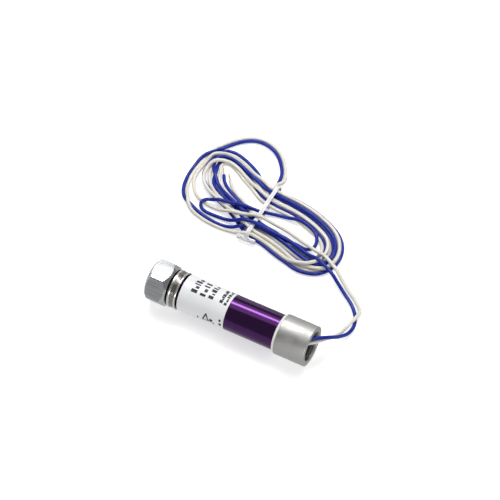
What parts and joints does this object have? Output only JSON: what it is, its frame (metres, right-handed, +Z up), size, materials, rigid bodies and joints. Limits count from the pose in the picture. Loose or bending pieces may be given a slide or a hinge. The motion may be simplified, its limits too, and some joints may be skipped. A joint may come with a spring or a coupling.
{
  "type": "flame sensor probe",
  "caption": "Tubular ultraviolet flame detector with a swivel hex mounting nut, a window, a threaded rear conduit collar and a tied hank of two lead wires.",
  "frame": {"origin": "centre of the probe's footprint on the surface it rests on, without the leads", "axes": "+X along the probe from the mounting nut to the conduit collar, +Y towards the hank, +Z up"},
  "size_m": [0.1654, 0.1695, 0.0286],
  "materials": {
    "plated_steel": "bright nickel plate, machined flats",
    "polished_steel": "polished, turned grooves",
    "spigot_steel": "turned",
    "washer_brass": "turned",
    "gasket_fibre": "matte fibre",
    "purple_anodised": "glossy purple anodised",
    "label_film": "semi-gloss printed film",
    "quartz": "clear polished",
    "silicone_red": "matte",
    "rubber_black": "matte",
    "sleeve_fibre": "matte",
    "bulb_glass": "clear",
    "electrode_metal": "satin",
    "base_ceramic": "matte",
    "silicone_grey": "matte",
    "board_fibre": "matte",
    "splice_tin": "tinned, crimped",
    "blue_insulation": "glossy extruded",
    "white_insulation": "glossy extruded",
    "nylon_white": "semi-gloss",
    "satin_aluminium": "satin, turned",
    "hank_insulation": "blue and white strands",
    "tie_plastic": "semi-gloss"
  },
  "bodies": {
    "probe": {"pipe_gasket": "gasket_fibre", "sight_spigot": "spigot_steel", "front_ring": "polished_steel", "ring_o_ring": "rubber_black", "window_seal_front": "silicone_red", "quartz_window": "quartz", "window_seal_rear": "silicone_red", "window_retainer": "spigot_steel", "body_tube": "purple_anodised", "label": "label_film", "insulating_sleeve": "sleeve_fibre", "bulb_envelope": "bulb_glass", "cathode": "electrode_metal", "anode": "electrode_metal", "bulb_base": "base_ceramic", "bulb_cushion_front": "silicone_grey", "bulb_cushion_rear": "silicone_grey", "terminal_disc": "board_fibre", "blue_splice": "splice_tin", "white_splice": "splice_tin", "blue_inner_lead": "blue_insulation", "white_inner_lead": "white_insulation", "lead_bushing": "rubber_black", "collar_gasket": "nylon_white", "rear_collar": "satin_aluminium", "blue_lead": "blue_insulation", "white_lead": "white_insulation", "lead_hank": "hank_insulation", "twist_tie_loop": "tie_plastic", "twist_tie_tail": "tie_plastic"},
    "slip_washer": {"thrust_washer": "washer_brass"},
    "mounting_nut": {"swivel_nut": "plated_steel"}
  },
  "joints": [
    {"name": "nut_float", "type": "slide", "parent": "probe", "child": "slip_washer", "axis": [1, 0, 0], "range_m": [0, 0.001]},
    {"name": "nut_swivel", "type": "hinge", "parent": "slip_washer", "child": "mounting_nut", "pos_m": [-0.0524, 0, 0.01429], "axis": [1, 0, 0], "continuous": true}
  ]
}
